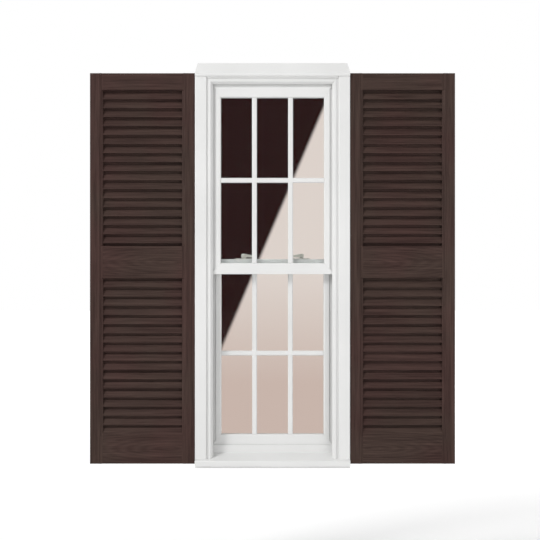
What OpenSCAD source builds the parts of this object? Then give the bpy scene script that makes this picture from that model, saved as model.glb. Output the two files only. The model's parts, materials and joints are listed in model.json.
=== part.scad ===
// Double-hung window with divided panes, flanked by a pair of moulded louvred shutters.
// The wall plane is y = 0, the outside faces -Y, and z = 0 is the underside of the sill.

/* [Window] */
// Width over the casing
window_w = 555; // [480:1:700]
// Height of the casing's top edge above the sill's underside
casing_top = 1412; // [1200:1:1600]
// Width of the flat side casing
casing_w = 42; // [34:1:50]
// How far the casing stands out from the wall
casing_t = 30; // [26:1:36]
// Height of the sloping drip cap above the casing
cap_h = 39; // [20:1:60]
// How far the drip cap's lip stands in front of the casing
cap_lip = 4; // [2:0.5:8]
// How far the cap's ends lean in at the top
cap_hip = 9; // [0:1:20]
// How far the frame box is hidden behind the casing
frame_cover = 16.5; // [12:0.5:20]
// Depth of the frame box behind the wall plane
frame_back = 58; // [58:1:80]
// Width of the bead round the opening
bead_w = 16; // [12:1:18]
// Height of the sill's front edge
sill_edge_h = 28; // [20:1:40]
// How far the sill stands out from the wall
sill_out = 42; // [38:1:60]

/* [Sashes] */
// Thickness of each sash
sash_t = 28; // [26:1:30]
// Room between the two sashes
sash_gap = 8; // [8:0.5:10]
// Width of a sash stile
stile_w = 40; // [38:1:50]
// Width of the upper sash's top rail
top_rail_w = 58; // [50:1:75]
// Height of the upper sash's check rail
check_rail_w = 40; // [36:1:50]
// Height of the lower sash's check rail
lower_check_w = 47; // [46:1:60]
// Height of the lower sash's bottom rail
bottom_rail_w = 45; // [44:1:70]
// Height of the lower sash's top edge above the sill's underside
meeting_z = 747; // [650:1:800]
// Width of a grille bar
bar_w = 18.5; // [14:0.5:24]
// Thickness of one pane
pane_t = 3; // [3:0.5:4]
// Room between the two panes
pane_gap = 10; // [8:0.5:11]
// Distance of each lock from the middle
lock_x = 104; // [80:1:130]

/* [Shutters] */
// Width of a shutter
shutter_w = 375; // [300:1:460]
// Height of a shutter
shutter_h = 1397; // [1200:1:1600]
// Depth of a shutter over its stiles
shutter_t = 26; // [24:1:34]
// Height of a shutter's lower end above the sill's underside
shutter_z = 15; // [0:1:60]
// Gap between a shutter and the casing
shutter_gap = 0.3; // [0.1:0.1:5]
// Wall of the moulding
shell_t = 2.5; // [2:0.25:3]
// Flat width of a shutter stile
stile_flat = 34; // [30:1:60]
// Width of the bevel at a stile's inner edge
stile_bevel = 12; // [6:0.5:16]
// Height of the shutter's top rail
shutter_top_h = 61; // [40:1:100]
// Height of the shutter's bottom rail up to the top of its slope
shutter_bottom_h = 128; // [100:1:180]
// Height of the middle rail's lower edge above the shutter's end
mid_rail_z = 663; // [560:1:760]
// Height of the middle rail
mid_rail_h = 116; // [80:1:160]
// Louvres above the middle rail
upper_louvres = 17; // [10:1:19]
// Louvres below the middle rail
lower_louvres = 16; // [10:1:18]
// Height of the dark gap above each louvre
louvre_gap = 9.7; // [7:0.1:12]

/* [Hidden] */
$fn = 48;
white = "#e6e6e4";
brown = "#483c38";
steel = "#a9abad";
clear = "#b9c6c8";
pile_grey = "#8a8a88";
half_w = window_w / 2;
frame_x = half_w - casing_w;
box_x = frame_x + frame_cover;
box_z = casing_top;
frame_z = box_z - frame_cover;
frame_lap = 12;
groove_w = 6;
groove_y = -24;
bead_y = -28;
bead_slope_w = 8;
bead_slope_d = 10;
run_gap = 1;
jamb_wall = 26;
track_x = box_x - jamb_wall;
bead_in = frame_cover + groove_w + bead_w;
stop_rise = 8.5;
stop_in = jamb_wall + stop_rise;
stop_t = sash_gap - 2 * run_gap;
upper_y = -12;
lower_y = upper_y + sash_t + sash_gap;
sash_x = track_x - run_gap;
head_room = 2;
upper_top = box_z - jamb_wall - head_room;
bead_rise = 14;
upper_bottom = meeting_z - bead_rise - check_rail_w;
drip_in = 14;
drip_h = 8;
sill_seat_z = 68;
sill_dam_z = 77;
sill_slope_z = 50;
sill_stop_z = 80;
lower_bottom = sill_seat_z + head_room;
tongue_side = 20;
tongue_top = 20;
tongue_step = 4;
front_lip = 5;
sight_bevel = 3;
inner_pane_in = front_lip + pane_t + pane_gap;
rebate = 10;
glass_edge = 2;
glass_t = 2 * pane_t + pane_gap;
bead_d = sash_t - front_lip - glass_t;
bead_bevel_w = 3;
bead_bevel_d = 4;
sight_x = sash_x - stile_w;
upper_sight = [upper_bottom + check_rail_w, upper_top - top_rail_w];
lower_sight = [lower_bottom + bottom_rail_w, meeting_z - lower_check_w];
hook_t = 2;
hook_h = 10;
hook_foot = 6;
hook_play = 1.5;
hook_reach = sash_gap - hook_play;
hook_end_gap = 4;
hook_x = box_x - stop_in - hook_end_gap;
pocket_w = 16;
pocket_lip = 4;
pocket_d = 16;
slot_w = 8;
shoe_gap = 0.3;
shoe_h = 36;
shoe_lift = 4;
bar_s = 6;
bar_fit = 0.1;
bar_seat = 12;
bar_lift = 12;
bar_end_gap = 2;
cassette_h = 56;
cassette_over_lower = 620;
cassette_over_upper = 100;
cassette_z = [lower_bottom + cassette_over_lower, upper_bottom + cassette_over_upper];
seal_gap = 0.3;
seal_w = 5;
seal_in = 4;
grille_t = 4;
bar_slope = 3;
bar_top_w = bar_w - 2 * bar_slope;
lock_w = 62;
lock_d = 20;
lock_base_t = 3;
lock_axis_in = 9.5;
pivot_r = 4;
pivot_fit = 0.05;
pivot_l = 6;
lock_boss_r = 9;
cam_gap = 0.5;
cam_t = 3;
cam_reach = 20;
cam_w = 8;
lever_l = 42;
lever_t = 4.5;
lever_rise = 13;
lever_crown = 4;
lever_tip_r = 3.5;
keeper_w = 40;
keeper_gap = 0.5;
keeper_foot = 2;
keeper_post_w = 5;
keeper_roof_t = 2;
keeper_inset = 0.4;
screw_r = 1.75;
screw_head_r = 3.4;
screw_head_h = 1;
screw_l = 14;
screw_fit = 0.05;
lock_screw_x = 26;
keeper_screw_x = 14;
fixing_r = 2.5;
fixing_z = [220, 1230];
rail_drop = 1.5;
louvre_lip_y = 20;
louvre_top_y = 11;
recess_y = 6;
lip_h = 2;
lip_round = 1.2;
edge_round = 3;
rib_pitch = 110;
rib_t = 2;

// Points along an arc from angle a0 to a1
function arc(c, r, a0, a1, n = 4) =
  [for (i = [0:n]) let (a = a0 + (a1 - a0) * i / n) c + r * [cos(a), sin(a)]];

// Block between two corners
module block(a, b) { translate(a) cube(b - a); }

// Outline drawn as [x, z], thick from y0 to y1
module in_front(y0, y1) {
  translate([0, y1, 0]) rotate([90, 0, 0]) linear_extrude(y1 - y0) children();
}

// Section drawn as [y, z], run along X from x0 to x1
module along_x(x0, x1) {
  translate([x0, 0, 0]) rotate([90, 0, 90]) linear_extrude(x1 - x0) children();
}

// Section drawn as [x, y], run along Z from z0 to z1
module along_z(z0, z1) { translate([0, 0, z0]) linear_extrude(z1 - z0) children(); }

// Left pieces are the mirror image of right ones
module on_side(s) { if (s < 0) mirror([1, 0, 0]) children(); else children(); }

// Frame section as [distance from the box's outside, y]
function frame_section() = concat(
  [[0, -frame_lap], [0, frame_back], [stop_in, frame_back], [stop_in, lower_y + sash_t + run_gap],
   [jamb_wall, lower_y + sash_t + run_gap], [jamb_wall, lower_y - run_gap], [stop_in, lower_y - run_gap],
   [stop_in, lower_y - run_gap - stop_t], [jamb_wall, lower_y - run_gap - stop_t],
   [jamb_wall, upper_y - run_gap], [bead_in, upper_y - run_gap]],
  [[bead_in, bead_y + bead_slope_d], [bead_in - bead_slope_w, bead_y]],
  arc([bead_in - bead_w + edge_round, bead_y + edge_round], edge_round, -90, -180),
  [[bead_in - bead_w, groove_y], [frame_cover, groove_y], [frame_cover, -frame_lap]]);

function sill_section() = concat(
  [[-sill_out + drip_in, 0], [-sill_out + drip_in, drip_h], [-sill_out, drip_h]],
  arc([-sill_out + edge_round, sill_edge_h - edge_round], edge_round, 180, 100),
  [[lower_y - run_gap - stop_t, sill_slope_z], [lower_y - run_gap - stop_t, sill_dam_z],
   [lower_y - run_gap, sill_dam_z], [lower_y - run_gap, sill_seat_z],
   [lower_y + sash_t + run_gap, sill_seat_z], [lower_y + sash_t + run_gap, sill_stop_z],
   [frame_back, sill_stop_z], [frame_back, 0]]);

module sill_body() {
  along_x(-box_x, box_x) polygon(sill_section());
  intersection() {
    along_x(-half_w, half_w) polygon(sill_section());
    block([-half_w, -sill_out, 0], [half_w, 0, casing_top]);
  }
}

module frame_sill() { color(white) sill_body(); }

// The mitre between head and jambs leaves the groove's outer corner at 45 degrees
module frame_head() {
  color(white) {
    intersection() {
      along_x(-box_x, box_x) polygon([for (p = frame_section()) [p[1], box_z - p[0]]]);
      in_front(bead_y, frame_back)
        polygon([[-box_x, box_z], [box_x, box_z], [0, box_z - box_x]]);
    }
    block([-frame_x, -casing_t, frame_z], [frame_x, 0, casing_top]);
  }
}

module balance_pocket(y0) {
  y_mid = y0 + sash_t / 2;
  x0 = track_x + pocket_lip;
  block([x0, y_mid - pocket_w / 2, 0], [x0 + pocket_d, y_mid + pocket_w / 2, casing_top]);
  block([track_x - run_gap, y_mid - slot_w / 2, 0], [x0 + run_gap, y_mid + slot_w / 2, casing_top]);
}

module frame_jamb(s) {
  color(white) on_side(s) difference() {
    intersection() {
      along_z(0, box_z) polygon([for (p = frame_section()) [box_x - p[0], p[1]]]);
      in_front(bead_y, frame_back) polygon([[0, 0], [box_x, 0], [box_x, box_z], [0, box_z - box_x]]);
    }
    sill_body();
    balance_pocket(upper_y);
    balance_pocket(lower_y);
    for (z = fixing_z) translate([0, lower_y - run_gap - stop_t / 2, z]) rotate([0, 90, 0])
      cylinder(r = fixing_r, h = half_w);
  }
}

// The side casing laps over the front of the frame box and stands on the sill
module casing(s) {
  color(white) on_side(s) difference() {
    along_z(drip_h, casing_top) polygon(concat(
      [[box_x, -frame_lap], [frame_x, -frame_lap]],
      arc([frame_x + edge_round, -casing_t + edge_round], edge_round, 180, 270),
      arc([half_w - edge_round, -casing_t + edge_round], edge_round, -90, 0),
      [[half_w, 0], [box_x, 0]]));
    sill_body();
  }
}

module head_cap() {
  front = casing_t + cap_lip;
  lip_drop = 11;
  crest = 5;
  color(white) intersection() {
    along_x(-half_w, half_w) polygon([
      [0, casing_top], [-casing_t, casing_top], [-casing_t, casing_top - lip_drop],
      [-front, casing_top - lip_drop], [-front, casing_top],
      [-crest, casing_top + cap_h], [0, casing_top + cap_h]]);
    in_front(-front, 0) polygon([
      [-half_w, casing_top - lip_drop], [half_w, casing_top - lip_drop], [half_w, casing_top],
      [half_w - cap_hip, casing_top + cap_h], [-half_w + cap_hip, casing_top + cap_h],
      [-half_w, casing_top]]);
  }
}

// Spring cassette that fills a stretch of the jamb pocket
module balance(s, y0, z) {
  y_mid = y0 + sash_t / 2;
  x0 = track_x + pocket_lip;
  coil_wall = 2;
  coil_cut = 6;
  coil_places = [0.3, 0.7];
  coil_r = pocket_d / 2 - coil_wall;
  color(steel) on_side(s) difference() {
    block([x0, y_mid - pocket_w / 2, z], [x0 + pocket_d, y_mid + pocket_w / 2, z + cassette_h]);
    for (k = coil_places) translate([x0 + pocket_d / 2, y_mid - pocket_w / 2, z + k * cassette_h])
      rotate([90, 0, 0]) difference() {
        cylinder(r = coil_r, h = coil_cut, center = true);
        cylinder(r = coil_r - coil_wall, h = coil_cut + 1, center = true);
      }
  }
}

// Section of a sash member as [distance from the outer edge, y from the front]
function sash_section(tongue, width) = concat(
  tongue > 0 ? [[0, tongue_step], [tongue, tongue_step], [tongue, 0]] : [[0, 0]],
  [[width - sight_bevel, 0], [width, sight_bevel], [width, front_lip],
   [width - rebate, front_lip], [width - rebate, sash_t], [0, sash_t]]);

// Stiles run out to the rails along a mitre from the outer to the sight corner
module stile_region(z, sight) {
  polygon([[sash_x, z[0]], [sight_x, sight[0]], [sight_x, sight[1]], [sash_x, z[1]]]);
}

module sash_stile(s, y0, z, sight) {
  color(white) on_side(s) difference() {
    intersection() {
      along_z(z[0], z[1]) polygon([for (p = sash_section(tongue_side, stile_w)) [sash_x - p[0], y0 + p[1]]]);
      in_front(y0, y0 + sash_t) stile_region(z, sight);
    }
    pivot_bar_body(y0, z[0], bar_fit);
  }
}

module rail_region(z_edge, sight_edge) {
  polygon([[-sash_x, z_edge], [sash_x, z_edge], [sight_x, sight_edge], [-sight_x, sight_edge]]);
}

// A rail whose outer edge is at z_edge and whose sight line is at sight_edge
module sash_rail(y0, z_edge, sight_edge, tongue) {
  up = sight_edge > z_edge ? 1 : -1;
  width = abs(sight_edge - z_edge);
  intersection() {
    along_x(-sash_x, sash_x)
      polygon([for (p = sash_section(tongue, width)) [y0 + p[1], z_edge + up * p[0]]]);
    in_front(y0, y0 + sash_t) rail_region(z_edge, sight_edge);
  }
}

module upper_top_rail() { color(white) sash_rail(upper_y, upper_top, upper_sight[1], tongue_top); }

// The two check rails hook into each other when the window is shut
module upper_check_rail() {
  back = upper_y + sash_t;
  foot = upper_bottom + hook_foot;
  leg = back + hook_reach - hook_t;
  color(white) difference() {
    union() {
      sash_rail(upper_y, upper_bottom, upper_sight[0], 0);
      along_x(-hook_x, hook_x) polygon([
        [back, foot], [leg + hook_t, foot], [leg + hook_t, foot + hook_h],
        [leg, foot + hook_h], [leg, foot + hook_t], [back, foot + hook_t]]);
    }
    for (s = [-1, 1]) on_side(s) pivot_bar_body(upper_y, upper_bottom, bar_fit);
    keeper_screw_holes();
  }
}

module lower_check_rail() {
  front = lower_y;
  crown = upper_bottom + hook_foot + hook_h + 3 * hook_t;
  leg = front - hook_reach + hook_t;
  tip = crown - hook_h - hook_t;
  color(white) difference() {
    union() {
      sash_rail(lower_y, meeting_z, lower_sight[1], 0);
      along_x(-hook_x, hook_x) polygon([
        [front, crown], [leg - hook_t, crown], [leg - hook_t, tip],
        [leg, tip], [leg, crown - hook_t], [front, crown - hook_t]]);
    }
    lock_screw_holes();
    for (s = [-1, 1]) lock_axis(s) translate([0, 0, -pivot_l - run_gap])
      cylinder(r = pivot_r + pivot_fit, h = pivot_l + 2 * run_gap);
  }
}

module lower_bottom_rail() {
  lift_w = 260;
  lift_t = 7;
  lift_foot = 16;
  lift_low = 12;
  lift_high = 7;
  lift_root = 4;
  back = lower_y + sash_t;
  seat = lower_sight[0] - rebate;
  color(white) difference() {
    union() {
      sash_rail(lower_y, lower_bottom, lower_sight[0], 0);
      along_x(-lift_w / 2, lift_w / 2) polygon([
        [back, seat - lift_foot], [back + lift_t, seat - lift_low],
        [back + lift_t, seat - lift_high], [back, seat - lift_root]]);
    }
    for (s = [-1, 1]) on_side(s) pivot_bar_body(lower_y, lower_bottom, bar_fit);
  }
}

// Square bar from the sash corner into the balance shoe
module pivot_bar_body(y0, z_bottom, grow = 0) {
  y_mid = y0 + sash_t / 2;
  z_mid = z_bottom + bar_lift;
  h = bar_s / 2 + grow;
  x0 = sash_x - bar_seat - grow;
  x1 = track_x + pocket_lip + pocket_d - bar_end_gap + grow;
  block([x0, y_mid - h, z_mid - h], [x1, y_mid + h, z_mid + h]);
}

module pivot_bar(s, y0, z_bottom) { color(steel) on_side(s) pivot_bar_body(y0, z_bottom); }

module balance_shoe(s, y0, z_bottom) {
  y_mid = y0 + sash_t / 2;
  h = pocket_w / 2 - shoe_gap;
  x0 = track_x + pocket_lip + shoe_gap;
  color(pile_grey) on_side(s) difference() {
    block([x0, y_mid - h, z_bottom + shoe_lift],
      [x0 + pocket_d - 2 * shoe_gap, y_mid + h, z_bottom + shoe_lift + shoe_h]);
    pivot_bar_body(y0, z_bottom, bar_fit);
  }
}

// Panes, spacer and beads lie in the rebate behind the front lip
module pane(sight, depth) {
  reach = rebate - glass_edge;
  x = sight_x + reach;
  color(clear) block([-x, depth, sight[0] - reach], [x, depth + pane_t, sight[1] + reach]);
}

module rectangle(half, z0, z1) { translate([-half, z0]) square([2 * half, z1 - z0]); }

module spacer(y0, sight) {
  reach = rebate - glass_edge;
  hide = 1;
  depth = y0 + front_lip + pane_t;
  color(steel) in_front(depth, depth + pane_gap) difference() {
    rectangle(sight_x + reach, sight[0] - reach, sight[1] + reach);
    rectangle(sight_x + hide, sight[0] - hide, sight[1] + hide);
  }
}

function bead_section(h) = let (d = bead_d, w = bead_bevel_w)
  [[0, 0], [h, 0], [h, d - bead_bevel_d], [h - w, d], [0, d]];

module level_bead(y0, z_seat, up, h) {
  x = sight_x + rebate;
  y = y0 + sash_t - bead_d;
  color(white) along_x(-x, x) polygon([for (p = bead_section(h)) [y + p[1], z_seat + up * p[0]]]);
}

// Tall bead that carries the keepers
module upper_bottom_bead() {
  color(white) difference() {
    level_bead(upper_y, upper_sight[0] - rebate, 1, rebate + bead_rise);
    keeper_screw_holes();
  }
}

module upright_bead(s, y0, z0, z1) {
  x = sight_x + rebate;
  y = y0 + sash_t - bead_d;
  color(white) on_side(s) along_z(z0, z1) polygon([for (p = bead_section(rebate)) [x - p[0], y + p[1]]]);
}

// Grille of two uprights and one cross bar, bevelled on the outside
module grille(y0, sight) {
  clear_w = (2 * sight_x - 2 * bar_w) / 3;
  bar_x = (clear_w + bar_w) / 2;
  z_mid = (sight[0] + sight[1]) / 2;
  y1 = y0 + front_lip;
  section = [[-bar_w / 2, y1], [-bar_top_w / 2, y1 - grille_t],
    [bar_top_w / 2, y1 - grille_t], [bar_w / 2, y1]];
  color(white) {
    for (x = [-bar_x, bar_x]) translate([x, 0, 0]) along_z(sight[0], sight[1]) polygon(section);
    along_x(-sight_x, sight_x) polygon([for (p = section) [p[1], z_mid + p[0]]]);
  }
}

// Pile strips stand on the sash tongue and brush the frame's stop
module sash_seals(y0, z0, z1, z_top_strip) {
  y_tip = y0 - run_gap + seal_gap;
  y_seat = y0 + tongue_step;
  color(pile_grey) {
    for (s = [-1, 1]) on_side(s)
      block([sash_x - seal_in - seal_w, y_tip, z0], [sash_x - seal_in, y_seat, z1]);
    if (z_top_strip > 0)
      block([-sash_x + tongue_side, y_tip, z_top_strip - seal_w],
        [sash_x - tongue_side, y_seat, z_top_strip]);
  }
}

module upper_seals() {
  corner = seal_in + 2 * seal_w;
  sash_seals(upper_y, upper_bottom + corner, upper_top - seal_w, upper_top - seal_in);
}

module lower_seals() { sash_seals(lower_y, sill_dam_z + seal_w, lower_sight[1], 0); }

// Sash locks: the lever turns about an upright pivot and its cam reaches the keeper
module lock_axis(s) { translate([s * lock_x, lower_y + lock_axis_in, meeting_z]) children(); }

module lock_screw_holes() {
  for (s = [-1, 1], k = [-1, 1]) lock_axis(s) translate([k * lock_screw_x, 0, -screw_l])
    cylinder(r = screw_r + screw_fit, h = screw_l + lock_base_t);
}

module lock_outline() {
  square([lock_w - lock_d + 1, lock_d - 1], center = true);
  for (k = [-1, 1]) translate([k * (lock_w - lock_d + 1) / 2, 0]) circle(d = lock_d - 1);
}

module lock_base(s) {
  color(white) difference() {
    lock_axis(s) difference() {
      union() {
        linear_extrude(lock_base_t) lock_outline();
        cylinder(r = lock_boss_r, h = lock_base_t + 0.2);
      }
      translate([0, 0, -1]) cylinder(r = pivot_r + pivot_fit, h = lock_base_t + 2);
    }
    lock_screw_holes();
  }
}

// Handle from the side: a crowned hub that slopes down to the tip
function lever_side() = concat(
  [[-lever_l - lever_tip_r, 0], [lock_boss_r, 0]],
  arc([lock_boss_r - lever_crown, lever_rise - lever_crown], lever_crown, 0, 90),
  [[-lock_boss_r / 2, lever_rise], [-lever_l - lever_tip_r, lever_t]]);

// Cam and handle turn as one piece; at rest the cam points indoors and the sashes are free
module lock_lever(s) {
  cam_z = lock_base_t + cam_gap;
  color(white) on_side(s) lock_axis(1) {
    translate([0, 0, -pivot_l]) cylinder(r = pivot_r, h = pivot_l + cam_z + cam_t);
    translate([0, 0, cam_z]) linear_extrude(cam_t) {
      circle(r = lock_boss_r - 1);
      translate([-cam_w / 2, 0]) square([cam_w, cam_reach - cam_w / 2]);
      translate([0, cam_reach - cam_w / 2]) circle(d = cam_w);
    }
    translate([0, 0, cam_z + cam_t]) intersection() {
      linear_extrude(lever_rise) {
        circle(r = lock_boss_r);
        polygon([[0, lock_boss_r], [-lever_l, 2 * lever_tip_r], [-lever_l, 0], [0, -lock_boss_r]]);
        translate([-lever_l, lever_tip_r]) circle(r = lever_tip_r);
      }
      in_front(-lock_boss_r, lock_boss_r) polygon(lever_side());
    }
  }
}

module keeper_screw_holes() {
  for (s = [-1, 1], k = [-1, 1]) keeper_at(s) translate([k * keeper_screw_x, 0, -screw_l])
    cylinder(r = screw_r + screw_fit, h = screw_l + keeper_foot);
}

// Keeper seat in the middle of the upper sash's tall bottom bead
module keeper_at(s) {
  translate([s * lock_x, upper_y + sash_t - bead_d / 2, meeting_z]) children();
}

// The cam swings in from the outer side, under the roof and against the post
module keeper(s) {
  d = bead_d / 2 - keeper_inset;
  roof_z = lock_base_t + cam_gap + cam_t + keeper_gap;
  post_x = -cam_w / 2 - keeper_gap;
  color(white) difference() {
    on_side(s) keeper_at(1) {
      block([-keeper_w / 2, -d, 0], [keeper_w / 2, d, keeper_foot]);
      block([post_x - keeper_post_w, -d, 0], [post_x, d, roof_z + keeper_roof_t]);
      block([post_x - keeper_post_w, -d, roof_z], [cam_w, d, roof_z + keeper_roof_t]);
    }
    keeper_screw_holes();
  }
}

module screw() {
  translate([0, 0, -screw_l]) cylinder(r = screw_r, h = screw_l);
  cylinder(r = screw_head_r, h = screw_head_h);
}

module lock_screws() {
  color(steel) for (s = [-1, 1], k = [-1, 1])
    lock_axis(s) translate([k * lock_screw_x, 0, lock_base_t]) screw();
}

module keeper_screws() {
  color(steel) for (s = [-1, 1], k = [-1, 1])
    keeper_at(s) translate([k * keeper_screw_x, 0, keeper_foot]) screw();
}

// Shutter: one moulded shell. Sections are [y, z] with the wall at y = 0
function louvre_front(z, p) = concat(
  [[-recess_y, z]],
  arc([-louvre_lip_y + lip_round, z + lip_round], lip_round, 270, 180, 3),
  [[-louvre_lip_y, z + lip_h], [-louvre_top_y, z + p - louvre_gap], [-recess_y, z + p - louvre_gap]]);

function louvre_back(z, p) = let (
    rise = p - louvre_gap - lip_h,
    run = louvre_lip_y - louvre_top_y,
    inset = shell_t * sqrt(rise * rise + run * run) / rise,
    face_y = function (h) -louvre_lip_y + inset + (h - lip_h) * run / rise)
  [[-recess_y + shell_t, z + shell_t], [face_y(shell_t), z + shell_t],
   [face_y(p - louvre_gap - shell_t), z + p - louvre_gap - shell_t],
   [-recess_y + shell_t, z + p - louvre_gap - shell_t]];

function upper_pitch() = (top_rail_z - upper_start) / upper_louvres;
function lower_pitch() = (mid_rail_z - lower_start) / lower_louvres;

rail_y = shutter_t - rail_drop;
slope_foot = 104;
groove_h = 4;
groove_d = 2;
slope_top_y = 12;
mid_rail_top = mid_rail_z + mid_rail_h;
upper_start = mid_rail_top + louvre_gap;
lower_start = shutter_bottom_h + louvre_gap;
top_rail_z = shutter_h - shutter_top_h;

function panel_front() = concat(
  [[0, 0]],
  arc([-rail_y + edge_round, edge_round], edge_round, 270, 180),
  [[-rail_y, slope_foot - groove_h], [-rail_y + groove_d, slope_foot - groove_h],
   [-rail_y + groove_d, slope_foot], [-slope_top_y, shutter_bottom_h], [-recess_y, shutter_bottom_h]],
  [for (i = [0:lower_louvres - 1]) each louvre_front(lower_start + i * lower_pitch(), lower_pitch())],
  [[-recess_y, mid_rail_z]],
  arc([-rail_y + edge_round, mid_rail_z + edge_round], edge_round, 270, 180),
  arc([-rail_y + edge_round, mid_rail_top - edge_round], edge_round, 180, 90),
  [[-recess_y, mid_rail_top]],
  [for (i = [0:upper_louvres - 1]) each louvre_front(upper_start + i * upper_pitch(), upper_pitch())],
  [[-recess_y, top_rail_z]],
  arc([-rail_y + edge_round, top_rail_z + edge_round], edge_round, 270, 180),
  arc([-rail_y + edge_round, shutter_h - edge_round], edge_round, 180, 90),
  [[0, shutter_h]]);

// Back of the shell, from the bottom up
function panel_back() = let (back = -recess_y + shell_t, face = -rail_y + shell_t) concat(
  [[0, shell_t], [face, shell_t], [face, slope_foot - groove_h - shell_t],
   [face + groove_d, slope_foot - groove_h - shell_t], [face + groove_d, slope_foot - shell_t],
   [-slope_top_y + shell_t, shutter_bottom_h - shell_t], [back, shutter_bottom_h - shell_t]],
  [for (i = [0:lower_louvres - 1]) each louvre_back(lower_start + i * lower_pitch(), lower_pitch())],
  [[back, mid_rail_z + shell_t], [face, mid_rail_z + shell_t],
   [face, mid_rail_top - shell_t], [back, mid_rail_top - shell_t]],
  [for (i = [0:upper_louvres - 1]) each louvre_back(upper_start + i * upper_pitch(), upper_pitch())],
  [[back, top_rail_z + shell_t], [face, top_rail_z + shell_t],
   [face, shutter_h - shell_t], [0, shutter_h - shell_t]]);

function reversed(list) = [for (i = [len(list) - 1:-1:0]) list[i]];

// Outer form of a stile as [x, y], and the room inside it
function stile_form() = concat(
  [[0, 0]],
  arc([edge_round, -shutter_t + edge_round], edge_round, 180, 270),
  [[stile_flat, -shutter_t], [stile_flat + stile_bevel, -louvre_lip_y], [stile_flat + stile_bevel, 0]]);

function stile_room() = let (t = shell_t, in_x = stile_flat + stile_bevel - t)
  [[t, 1], [t, -shutter_t + t], [stile_flat - t / 2, -shutter_t + t],
   [in_x, -louvre_lip_y + t / 2], [in_x, 1]];

module stile_solid() {
  intersection() {
    along_z(0, shutter_h) polygon(stile_form());
    along_x(0, shutter_w) polygon(concat(
      [[0, 0]],
      arc([-shutter_t + edge_round, edge_round], edge_round, 270, 180),
      arc([-shutter_t + edge_round, shutter_h - edge_round], edge_round, 180, 90),
      [[0, shutter_h]]));
  }
}

// Rooms behind a stile, with level ribs between them
module stile_rooms() {
  room_h = shutter_h - 2 * shell_t;
  ribs = floor(room_h / rib_pitch);
  rib_step = room_h / ribs;
  for (i = [0:ribs - 1]) let (z0 = shell_t + i * rib_step)
    along_z(z0 + rib_t / 2, z0 + rib_step - rib_t / 2) polygon(stile_room());
}

module both_stiles() {
  children();
  translate([shutter_w, 0, 0]) mirror([1, 0, 0]) children();
}

module shutter(x) {
  color(brown) translate([x, 0, shutter_z]) difference() {
    union() {
      both_stiles() stile_solid();
      along_x(stile_flat, shutter_w - stile_flat) polygon(concat(panel_front(), reversed(panel_back())));
    }
    both_stiles() stile_rooms();
  }
}

module left_shutter() { shutter(-half_w - shutter_gap - shutter_w); }
module right_shutter() { shutter(half_w + shutter_gap); }

upper_z = [upper_bottom, upper_top];
lower_z = [lower_bottom, meeting_z];

left_shutter();
right_shutter();
casing(-1);  // left_casing
casing(1);  // right_casing
head_cap();
frame_head();
frame_sill();
frame_jamb(-1);  // frame_left_jamb
frame_jamb(1);  // frame_right_jamb
balance(-1, upper_y, cassette_z[1]);  // upper_left_balance
balance(1, upper_y, cassette_z[1]);  // upper_right_balance
balance(-1, lower_y, cassette_z[0]);  // lower_left_balance
balance(1, lower_y, cassette_z[0]);  // lower_right_balance
upper_top_rail();
upper_check_rail();
sash_stile(-1, upper_y, upper_z, upper_sight);  // upper_left_stile
sash_stile(1, upper_y, upper_z, upper_sight);  // upper_right_stile
pane(upper_sight, upper_y + front_lip);  // upper_outer_pane
pane(upper_sight, upper_y + inner_pane_in);  // upper_inner_pane
spacer(upper_y, upper_sight);  // upper_spacer
grille(upper_y, upper_sight);  // upper_grille
upper_seals();
level_bead(upper_y, upper_sight[1] + rebate, -1, rebate);  // upper_top_bead
upper_bottom_bead();
upright_bead(-1, upper_y, meeting_z, upper_sight[1]);  // upper_left_bead
upright_bead(1, upper_y, meeting_z, upper_sight[1]);  // upper_right_bead
balance_shoe(-1, upper_y, upper_bottom);  // upper_left_shoe
balance_shoe(1, upper_y, upper_bottom);  // upper_right_shoe
pivot_bar(-1, upper_y, upper_bottom);  // upper_left_pivot_bar
pivot_bar(1, upper_y, upper_bottom);  // upper_right_pivot_bar
keeper(-1);  // left_keeper
keeper(1);  // right_keeper
keeper_screws();
lower_check_rail();
lower_bottom_rail();
sash_stile(-1, lower_y, lower_z, lower_sight);  // lower_left_stile
sash_stile(1, lower_y, lower_z, lower_sight);  // lower_right_stile
pane(lower_sight, lower_y + front_lip);  // lower_outer_pane
pane(lower_sight, lower_y + inner_pane_in);  // lower_inner_pane
spacer(lower_y, lower_sight);  // lower_spacer
grille(lower_y, lower_sight);  // lower_grille
lower_seals();
level_bead(lower_y, lower_sight[1] + rebate, -1, rebate);  // lower_top_bead
level_bead(lower_y, lower_sight[0] - rebate, 1, rebate);  // lower_bottom_bead
upright_bead(-1, lower_y, lower_sight[0], lower_sight[1]);  // lower_left_bead
upright_bead(1, lower_y, lower_sight[0], lower_sight[1]);  // lower_right_bead
balance_shoe(-1, lower_y, lower_bottom);  // lower_left_shoe
balance_shoe(1, lower_y, lower_bottom);  // lower_right_shoe
pivot_bar(-1, lower_y, lower_bottom);  // lower_left_pivot_bar
pivot_bar(1, lower_y, lower_bottom);  // lower_right_pivot_bar
lock_base(-1);  // left_lock_base
lock_base(1);  // right_lock_base
lock_lever(-1);  // left_lock_lever
lock_lever(1);  // right_lock_lever
lock_screws();
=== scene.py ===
"""Louvred shutters beside their double-hung window: finishes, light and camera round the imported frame."""

import json
import math

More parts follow.
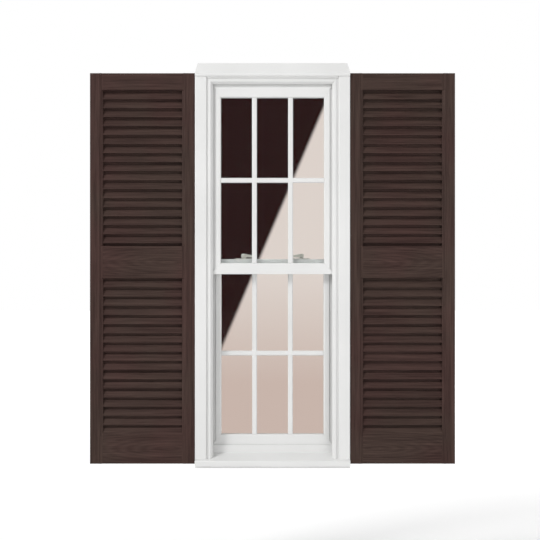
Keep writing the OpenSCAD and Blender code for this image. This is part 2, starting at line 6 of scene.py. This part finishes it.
import bmesh
import bpy
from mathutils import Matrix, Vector

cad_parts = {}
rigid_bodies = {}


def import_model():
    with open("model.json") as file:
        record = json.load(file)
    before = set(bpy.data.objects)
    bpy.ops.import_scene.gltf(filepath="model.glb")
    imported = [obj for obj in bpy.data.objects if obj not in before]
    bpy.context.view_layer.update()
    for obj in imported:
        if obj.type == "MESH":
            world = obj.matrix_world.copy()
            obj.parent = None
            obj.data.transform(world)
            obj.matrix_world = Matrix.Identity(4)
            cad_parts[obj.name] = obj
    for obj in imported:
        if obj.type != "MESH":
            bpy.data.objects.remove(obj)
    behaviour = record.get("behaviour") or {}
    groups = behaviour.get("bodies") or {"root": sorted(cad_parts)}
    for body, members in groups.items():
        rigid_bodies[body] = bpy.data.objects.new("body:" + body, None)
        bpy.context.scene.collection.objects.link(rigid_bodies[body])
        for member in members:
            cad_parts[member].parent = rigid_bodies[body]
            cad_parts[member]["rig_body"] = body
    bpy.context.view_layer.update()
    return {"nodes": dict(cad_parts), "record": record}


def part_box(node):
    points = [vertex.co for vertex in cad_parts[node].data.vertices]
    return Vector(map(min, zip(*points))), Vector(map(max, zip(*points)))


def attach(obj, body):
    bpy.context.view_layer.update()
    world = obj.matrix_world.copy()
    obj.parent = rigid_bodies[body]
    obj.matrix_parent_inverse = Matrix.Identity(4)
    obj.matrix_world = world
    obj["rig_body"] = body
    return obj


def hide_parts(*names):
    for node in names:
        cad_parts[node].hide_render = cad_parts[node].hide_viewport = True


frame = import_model()
nodes = frame["nodes"]
slot_of = {part["node"]: part["material_slot"] for part in frame["record"]["subparts"]}

# Shutter: its middle, and half the width between its stiles, in metres
shutter_low, shutter_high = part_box("right_shutter")
SHUTTER_MID = (shutter_low.x + shutter_high.x) / 2
STILE_WIDTH = 0.046
FIELD_HALF = (shutter_high.x - shutter_low.x) / 2 - STILE_WIDTH

# Layers of the embossed grain, from broad to fine, with waves per metre along and across it
FIGURE = {"along": 1.6, "across": 42.0, "detail": 4.0, "distortion": 1.4}
STREAKS = {"along": 5.0, "across": 170.0, "detail": 3.0, "distortion": 0.6}
PORES = {"along": 12.0, "across": 430.0, "detail": 2.0, "distortion": 0.5}
FIGURE_SHARE = 0.50
STREAK_SHARE = 0.50

# Noise levels between which the pores sink in, and how much they deepen and darken the grain
PORE_EDGE = 0.53
PORE_FLOOR = 0.64
PORE_DEPTH = 0.30
PORE_SHADE = 0.09

# Arched figure of the grain on the middle and bottom rails, with lengths in metres
RAIL_SPLIT = 0.45
BOTTOM_RAIL_MID = 0.070
MIDDLE_RAIL_MID = 0.735
RAIL_HALF = 0.062
ARCH_OFFSET = 0.09
ARCH_STRETCH = 0.17
ARCH_WOBBLE = 0.016
ARCH_PITCH = 0.0085
ARCH_SHADE = 0.05

# View of the photograph: frontal, from far enough away to keep the sides upright
FRAME_WIDTH = 1.930
VIEW_X = -0.009
VIEW_Z = 0.708
LENS = 85.0
SENSOR = 36.0
FRONT_Y = shutter_low.y

# Finishes, as linear colours
BROWN_DARK = (0.0345, 0.0186, 0.0155)
BROWN_LIGHT = (0.0698, 0.0416, 0.0346)
REDDER = (1.00, 0.90, 0.92)
GREYER = (0.95, 1.00, 0.97)
VINYL_SHADE = (0.735, 0.735, 0.727)
VINYL = (0.785, 0.785, 0.777)
ENAMEL = (0.600, 0.575, 0.525)
STEEL = (0.48, 0.48, 0.49)
ALUMINIUM = (0.58, 0.59, 0.60)
PILE_DARK = (0.120, 0.120, 0.117)
PILE = (0.200, 0.200, 0.195)
NYLON = (0.27, 0.27, 0.26)
GLASS_TINT = (0.93, 0.95, 0.94)
GLASS_GLARE = (0.08, 0.08, 0.08)

# Share of the light that glass holds back, and spread of the sheen on small hardware
GLASS_SHADOW = 0.1
SHEEN_SPREAD = 0.2

# Edge rounding of the pieces that show, with lengths in metres
EDGE_ROUND = {"brown_moulding": 0.0006, "white_vinyl": 0.0008, "lock_enamel": 0.0007}
SHARP_ANGLE = math.radians(35.0)
LEVEL_ANGLE = math.radians(0.5)
MERGE_DISTANCE = 1e-6
FLAT_BREADTH = 0.004

# Light of the studio
WHITE = (1.0, 1.0, 1.0)
BLACK = (0.0, 0.0, 0.0)
FILL = 0.585
LAMP_AIM = (0.0, 0.0, 0.7)

# Pale floor below the window, whose glow grows between two distances, in metres
FLOOR = (0.85, 0.85, 0.85)
FLOOR_LEVEL = -0.40
FLOOR_HALF = 30.0
GLOW_FROM = 2.0
GLOW_TO = 12.0
GLOW_NEAR = 0.20
GLOW_FAR = 0.66

# Board of the stage close behind the window, which shows through the glass alone and glows with painted
# shade of a dim room and a painted reflection, with lengths in metres
# Glow of the painted shade of a dim room, then of the painted reflection from its low to its high end
BOARD_DARK = (0.014, 0.001, 0.001)
BOARD_PALE_LOW = (0.66, 0.50, 0.45)
BOARD_PALE_HIGH = (0.83, 0.71, 0.67)
BOARD_PALE_FROM = 0.28
BOARD_PALE_TO = 0.68
BOARD_HALF = 2.0
BOARD_TOP = 2.6
BOARD_BACK = 0.25
BOARD_SLOPE = (0.92, 0.0, -0.39)
BOARD_TURN = -0.337
BOARD_BLUR = 0.009


class Graph:
    """Short calls for the nodes of one node tree."""

    def __init__(self, tree):
        self.tree = tree

    def add(self, kind, inputs=None, **settings):
        node = self.tree.nodes.new(kind)
        for key, value in settings.items():
            setattr(node, key, value)
        for key, value in (inputs or {}).items():
            self.feed(node, key, value)
        return node

    def feed(self, node, key, value):
        socket = node.inputs[key]
        if isinstance(value, bpy.types.NodeSocket):
            self.tree.links.new(value, socket)
        else:
            socket.default_value = value

    def calc(self, operation, a, b=0.0):
        return self.add("ShaderNodeMath", {0: a, 1: b}, operation=operation).outputs[0]

    def remap(self, value, low, high):
        inputs = {"Value": value, "To Min": low, "To Max": high}
        return self.add("ShaderNodeMapRange", inputs).outputs[0]


class Shader(Graph):
    """A material with a principled shader and the nodes that feed it."""

    def __init__(self, name):
        self.material = bpy.data.materials.new(name)
        self.material.use_nodes = True
        super().__init__(self.material.node_tree)
        self.principled = self.tree.nodes["Principled BSDF"]

    def set(self, **values):
        for key, value in values.items():
            self.feed(self.principled, key.replace("_", " "), value)

    def place(self):
        return self.add("ShaderNodeTexCoord").outputs["Object"]

    def axes(self, vector):
        return self.add("ShaderNodeSeparateXYZ", {0: vector}).outputs

    def stretched(self, vector, scale):
        return self.add("ShaderNodeMapping", {"Vector": vector, "Scale": scale}).outputs[0]

    def noise(self, vector, scale=1.0, detail=3.0, distortion=0.0):
        inputs = {"Vector": vector, "Scale": scale, "Detail": detail, "Distortion": distortion}
        return self.add("ShaderNodeTexNoise", inputs).outputs[0]

    def ramp(self, factor, low, high, start=0.35, end=0.65):
        node = self.add("ShaderNodeValToRGB", {"Fac": factor})
        node.color_ramp.elements[0].position = start
        node.color_ramp.elements[0].color = (*low, 1.0)
        node.color_ramp.elements[1].position = end
        node.color_ramp.elements[1].color = (*high, 1.0)
        return node.outputs[0]

    def bump(self, height, strength, distance):
        inputs = {"Height": height, "Strength": strength, "Distance": distance}
        return self.add("ShaderNodeBump", inputs).outputs[0]


def wood_grain_plastic():
    """Satin moulding with embossed grain: upright on the stiles, level on rails and louvres."""
    s = Shader("brown_moulding")
    place = s.place()
    axes = s.axes(place)
    from_middle = s.calc("ABSOLUTE", s.calc("SUBTRACT", s.calc("ABSOLUTE", axes["X"]), SHUTTER_MID))
    on_stile = s.calc("GREATER_THAN", from_middle, FIELD_HALF)

    def grain(along, across, **kind):
        upright = s.stretched(place, (across, across, along))
        level = s.stretched(place, (along, across, across))
        mixed = s.add("ShaderNodeMix", {"Factor": on_stile, 4: level, 5: upright}, data_type="VECTOR")
        return s.noise(mixed.outputs[1], **kind)

    figure = grain(**FIGURE)
    streaks = s.calc("MULTIPLY", grain(**STREAKS), STREAK_SHARE)
    tone = s.calc("ADD", s.calc("MULTIPLY", figure, FIGURE_SHARE), streaks)
    sunk = {"Value": grain(**PORES), "From Min": PORE_EDGE, "From Max": PORE_FLOOR}
    pores = s.add("ShaderNodeMapRange", sunk).outputs[0]

    above_field = s.calc("GREATER_THAN", axes["Z"], RAIL_SPLIT)
    rail_mid = s.remap(above_field, BOTTOM_RAIL_MID, MIDDLE_RAIL_MID)
    up = s.calc("SUBTRACT", axes["Z"], rail_mid)
    on_rail = s.calc("LESS_THAN", s.calc("ABSOLUTE", up), RAIL_HALF)
    on_rail = s.calc("MULTIPLY", on_rail, s.calc("SUBTRACT", 1.0, on_stile))
    along = s.calc("SUBTRACT", s.calc("ABSOLUTE", axes["X"]), SHUTTER_MID - ARCH_OFFSET)
    along = s.calc("MULTIPLY", along, ARCH_STRETCH)
    reach = s.calc("SQRT", s.calc("ADD", s.calc("MULTIPLY", up, up), s.calc("MULTIPLY", along, along)))
    reach = s.calc("ADD", reach, s.calc("MULTIPLY", figure, ARCH_WOBBLE))
    arches = s.calc("SINE", s.calc("MULTIPLY", reach, math.tau / ARCH_PITCH))
    arches = s.calc("MULTIPLY", arches, on_rail)
    tone = s.calc("ADD", tone, s.calc("MULTIPLY", arches, ARCH_SHADE))

    height = s.calc("SUBTRACT", tone, s.calc("MULTIPLY", pores, PORE_DEPTH))
    tone = s.calc("SUBTRACT", tone, s.calc("MULTIPLY", pores, PORE_SHADE))
    patches = s.noise(place, scale=4.0, detail=2.0)
    tint = s.ramp(patches, REDDER, GREYER, start=0.40, end=0.60)
    brown = s.ramp(tone, BROWN_DARK, BROWN_LIGHT, start=0.34, end=0.66)
    tinted = s.add("ShaderNodeVectorMath", {0: brown, 1: tint}, operation="MULTIPLY")
    s.set(Base_Color=tinted.outputs[0])
    s.set(Roughness=s.remap(tone, low=0.66, high=0.50))
    s.set(Normal=s.bump(height, strength=0.75, distance=0.0014))
    s.set(Specular_IOR_Level=0.12)
    return s.material


def white_vinyl():
    """Smooth extruded vinyl with a faint orange peel and uneven sheen."""
    s = Shader("white_vinyl")
    place = s.place()
    cloud = s.noise(place, scale=3.0, detail=3.0)
    peel = s.noise(place, scale=420.0, detail=1.0)
    s.set(Base_Color=s.ramp(cloud, VINYL_SHADE, VINYL))
    s.set(Roughness=s.remap(cloud, low=0.42, high=0.30))
    s.set(Normal=s.bump(peel, strength=0.06, distance=0.0004))
    s.set(IOR=1.5)
    return s.material


def window_glass():
    """Clear glass with low glare, which lets most of the light pass."""
    s = Shader("glass")
    s.set(Base_Color=(*GLASS_TINT, 1.0))
    s.set(Transmission_Weight=1.0)
    s.set(Roughness=0.0)
    s.set(IOR=1.5)
    s.set(Specular_Tint=(*GLASS_GLARE, 1.0))
    path = s.add("ShaderNodeLightPath").outputs
    light_only = s.calc("MAXIMUM", path["Is Shadow Ray"], path["Is Diffuse Ray"])
    s.set(Alpha=s.remap(light_only, 1.0, GLASS_SHADOW))
    return s.material


def plain_finish(name, colour, roughness, metallic=0.0, spread=0.15, grain=90.0):
    """Small hardware: a cloudy tone and a broken sheen on one colour."""
    s = Shader(name)
    cloud = s.noise(s.place(), scale=grain, detail=4.0)
    low = tuple(c * (1.0 - spread) for c in colour)
    dull = roughness * (1.0 + SHEEN_SPREAD)
    bright = roughness * (1.0 - SHEEN_SPREAD)
    s.set(Base_Color=s.ramp(cloud, low, colour))
    s.set(Roughness=s.remap(cloud, dull, bright))
    s.set(Metallic=metallic)
    return s.material


def pile_strip():
    """Woven pile: fine upright hairs with a soft edge."""
    s = Shader("pile")
    hairs = s.noise(s.stretched(s.place(), scale=(900.0, 120.0, 900.0)), detail=2.0)
    s.set(Base_Color=s.ramp(hairs, PILE_DARK, PILE))
    s.set(Roughness=0.95)
    s.set(Normal=s.bump(hairs, strength=0.6, distance=0.001))
    s.set(Sheen_Weight=0.3)
    return s.material


materials = {
    "brown_moulding": wood_grain_plastic(),
    "white_vinyl": white_vinyl(),
    "glass": window_glass(),
    "lock_enamel": plain_finish("lock_enamel", ENAMEL, roughness=0.28, spread=0.06),
    "steel": plain_finish("steel", STEEL, roughness=0.35, metallic=1.0),
    "spacer_aluminium": plain_finish("spacer_aluminium", ALUMINIUM, roughness=0.4, metallic=1.0),
    "pile": pile_strip(),
    "shoe_plastic": plain_finish("shoe_plastic", NYLON, roughness=0.5),
}


def breadth(mesh, face):
    """Width of a long narrow face, from its area and the length round it."""
    corners = [mesh.vertices[index].co for index in face.vertices]
    length_round = sum((a - b).length for a, b in zip(corners, corners[1:] + corners[:1]))
    return 2.0 * face.area / length_round


def round_edges(name, width):
    """Stands for a CAD node with the same form and softened edges."""
    mesh = nodes[name].data.copy()
    shape = bmesh.new()
    shape.from_mesh(mesh)
    bmesh.ops.remove_doubles(shape, verts=shape.verts, dist=MERGE_DISTANCE)
    bmesh.ops.dissolve_limit(shape, angle_limit=LEVEL_ANGLE, verts=shape.verts, edges=shape.edges)
    shape.to_mesh(mesh)
    shape.free()
    for face in mesh.polygons:
        face.use_smooth = breadth(mesh, face) < FLAT_BREADTH
    piece = bpy.data.objects.new(f"{name}_form", mesh)
    bpy.context.scene.collection.objects.link(piece)
    bevel = piece.modifiers.new("edges", "BEVEL")
    bevel.width = width
    bevel.segments = 2
    bevel.limit_method = "ANGLE"
    bevel.angle_limit = SHARP_ANGLE
    bevel.use_clamp_overlap = False
    bevel.harden_normals = True
    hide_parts(name)
    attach(piece, nodes[name]["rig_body"])
    return piece


def give_material(piece, material):
    """Makes one material the only finish of a piece."""
    piece.data.materials.clear()
    piece.data.materials.append(material)


def finish_pieces():
    """Gives every CAD node its finish, and the ones that show softened edges too."""
    for name, solid in nodes.items():
        width = EDGE_ROUND.get(slot_of[name])
        piece = round_edges(name, width) if width else solid
        give_material(piece, materials[slot_of[name]])


def background_rays(graph):
    """Rays that show the background: seen straight, mirrored or through glass."""
    path = graph.add("ShaderNodeLightPath").outputs
    bent = graph.calc("MAXIMUM", path["Is Glossy Ray"], path["Is Transmission Ray"])
    return graph.calc("MAXIMUM", path["Is Camera Ray"], bent)


def pale_floor():
    """White to the eye far off, with the object's shadow near by."""
    s = Shader("floor")
    away = s.add("ShaderNodeVectorMath", {0: s.place()}, operation="LENGTH").outputs["Value"]
    span = {"Value": away, "From Min": GLOW_FROM, "From Max": GLOW_TO}
    span["To Min"] = GLOW_NEAR
    span["To Max"] = GLOW_FAR
    glow = s.add("ShaderNodeMapRange", span).outputs[0]
    s.set(Base_Color=(*FLOOR, 1.0))
    s.set(Roughness=0.9)
    s.set(Emission_Color=(*WHITE, 1.0))
    s.set(Emission_Strength=s.calc("MULTIPLY", background_rays(s), glow))
    return s.material


def shade_and_reflection_board():
    """Glowing painted shade of a dim room towards the upper left and a glowing painted reflection to the
    lower right, paler upwards, with a soft edge between.
    """
    s = Shader("board")
    place = s.place()
    slope = s.add("ShaderNodeVectorMath", {0: place, 1: BOARD_SLOPE}, operation="DOT_PRODUCT")
    span = {"Value": slope.outputs["Value"]}
    span["From Min"] = BOARD_TURN - BOARD_BLUR
    span["From Max"] = BOARD_TURN + BOARD_BLUR
    tone = s.add("ShaderNodeMapRange", span, interpolation_type="SMOOTHSTEP").outputs[0]
    height = s.axes(place)["Z"]
    # Painted reflection in the pale part, brighter towards the top
    pale = s.ramp(height, BOARD_PALE_LOW, BOARD_PALE_HIGH, BOARD_PALE_FROM, BOARD_PALE_TO)
    ends = {"Factor": tone, 6: (*BOARD_DARK, 1.0), 7: pale}
    s.set(Base_Color=(*BLACK, 1.0))
    s.set(Specular_IOR_Level=0.0)
    s.set(Emission_Color=s.add("ShaderNodeMix", ends, data_type="RGBA").outputs[2])
    s.set(Emission_Strength=1.0)
    return s.material


def rectangle(left, right, low, high):
    """Corners of a rectangle, in order round it."""
    return [(left, low), (right, low), (right, high), (left, high)]


def add_stage(name, corners, material):
    """One flat face of the stage."""
    mesh = bpy.data.meshes.new(name)
    mesh.from_pydata(corners, [], [range(len(corners))])
    face = bpy.data.objects.new(name, mesh)
    bpy.context.scene.collection.objects.link(face)
    give_material(face, material)
    return face


def make_floor():
    """Level face far past the picture's edge on all sides."""
    outline = rectangle(-FLOOR_HALF, FLOOR_HALF, -FLOOR_HALF, FLOOR_HALF)
    add_stage("floor", [(x, y, FLOOR_LEVEL) for x, y in outline], pale_floor())


def make_board():
    """Upright face that only rays through glass see."""
    outline = rectangle(-BOARD_HALF, BOARD_HALF, FLOOR_LEVEL, BOARD_TOP)
    # The board glows with painted shade to the upper left and a painted reflection to the lower right
    board = add_stage("board", [(x, BOARD_BACK, z) for x, z in outline], shade_and_reflection_board())
    board.visible_camera = False
    board.visible_diffuse = False
    board.visible_glossy = False
    board.visible_shadow = False


def make_world():
    """White wherever the background shows, and an even fill for everything else."""
    studio = bpy.data.worlds.new("studio")
    bpy.context.scene.world = studio
    studio.use_nodes = True
    world = Graph(studio.node_tree)
    air = world.tree.nodes["Background"]
    world.feed(air, "Color", (*WHITE, 1.0))
    world.feed(air, "Strength", world.remap(background_rays(world), FILL, 1.0))


def add_lamp(name, place, size, power):
    """Square soft light, in metres and watts, aimed near the middle of the window."""
    light = bpy.data.lights.new(name, "AREA")
    light.shape = "SQUARE"
    light.size = size
    light.energy = power
    lamp = bpy.data.objects.new(name, light)
    lamp.location = place
    lamp.rotation_euler = (Vector(LAMP_AIM) - Vector(place)).to_track_quat("-Z", "Y").to_euler()
    lamp.visible_transmission = False
    bpy.context.scene.collection.objects.link(lamp)


def add_camera():
    """Level camera straight in front, far enough for the picture's width at the shutters' face."""
    data = bpy.data.cameras.new("camera")
    data.lens = LENS
    data.sensor_width = SENSOR
    camera = bpy.data.objects.new("camera", data)
    distance = LENS * FRAME_WIDTH / SENSOR
    camera.location = (VIEW_X, FRONT_Y - distance, VIEW_Z)
    camera.rotation_euler = (math.radians(90.0), 0.0, 0.0)
    bpy.context.scene.collection.objects.link(camera)
    bpy.context.scene.camera = camera


finish_pieces()
make_floor()
make_board()
make_world()
add_lamp("key", place=(-6.8, -5.8, 5.9), size=2.4, power=500.0)
add_lamp("fill", place=(5.0, -7.0, 0.4), size=4.0, power=130.0)
add_lamp("back", place=(4.0, 7.0, 4.0), size=4.0, power=230.0)
add_camera()
bpy.context.scene.view_settings.view_transform = "Standard"
